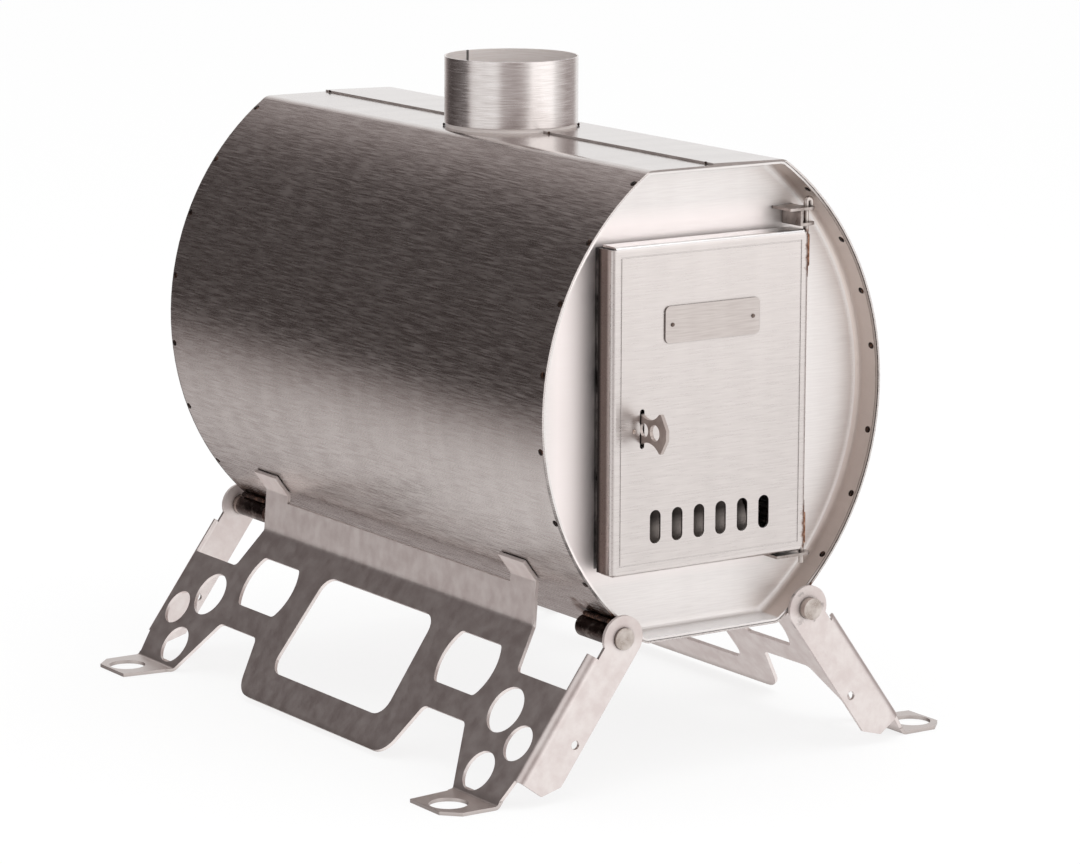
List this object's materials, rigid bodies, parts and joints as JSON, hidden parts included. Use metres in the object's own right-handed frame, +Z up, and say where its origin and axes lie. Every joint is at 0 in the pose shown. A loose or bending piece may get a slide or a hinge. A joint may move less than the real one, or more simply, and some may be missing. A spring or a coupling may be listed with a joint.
{
  "type": "tent wood stove",
  "caption": "Portable sheet-steel wood stove with flat top and bottom, dished ends, flue collar, side-hung door with air slots and rocking catch, and folding legs.",
  "frame": {"origin": "on the floor under the centre of the stove's outline", "axes": "+Z up, -Y towards the door, +X to the right of someone who faces the door"},
  "size_m": [0.338, 0.4318, 0.3744],
  "materials": {
    "shell_sheet": "brushed along the body, darker on the sides",
    "plate_sheet": "finely brushed",
    "collar_sheet": "brushed round the collar",
    "weld_metal": "dark heat-tinted weld",
    "round_bar": "drawn bar",
    "leg_sheet": "cold-rolled, satin",
    "bracket_sheet": "satin",
    "door_sheet": "finely brushed",
    "tag_sheet": "satin",
    "spring_strip": "satin"
  },
  "bodies": {
    "root": {"body_shell": "shell_sheet", "front_plate": "plate_sheet", "rear_plate": "plate_sheet", "flue_collar": "collar_sheet", "collar_welds": "weld_metal", "seam_welds": "weld_metal", "front_left_pin": "round_bar", "front_right_pin": "round_bar", "rear_left_pin": "round_bar", "rear_right_pin": "round_bar", "pin_welds": "weld_metal", "upper_bracket": "bracket_sheet", "lower_bracket": "bracket_sheet"},
    "door": {"door_panel": "door_sheet", "upper_rod": "round_bar", "lower_rod": "round_bar", "rod_welds": "weld_metal", "blank_plate": "tag_sheet", "plate_rivets": "tag_sheet", "air_deflector": "shell_sheet", "latch_spring": "spring_strip"},
    "latch": {"latch_handle": "leg_sheet"},
    "left_leg": {"left_leg": "leg_sheet"},
    "right_leg": {"right_leg": "leg_sheet"}
  },
  "joints": [
    {"name": "left_leg_fold", "type": "hinge", "parent": "root", "child": "left_leg", "pos_m": [-0.06285, 0.0089, 0.08488], "axis": [0, -1, 0], "range_deg": [0, 111]},
    {"name": "right_leg_fold", "type": "hinge", "parent": "root", "child": "right_leg", "pos_m": [0.06285, 0.0089, 0.08488], "axis": [0, 1, 0], "range_deg": [0, 125]},
    {"name": "door_swing", "type": "hinge", "parent": "root", "child": "door", "pos_m": [0.06258, -0.1866, 0.20638], "axis": [0, 0, 1], "range_deg": [0, 150]},
    {"name": "latch_rock", "type": "hinge", "parent": "door", "child": "latch", "pos_m": [-0.049, -0.192, 0.19668], "axis": [0, 0, 1], "range_deg": [-15, 0], "stiffness_Nm_per_rad": 0.3, "springref_deg": 5.73}
  ]
}
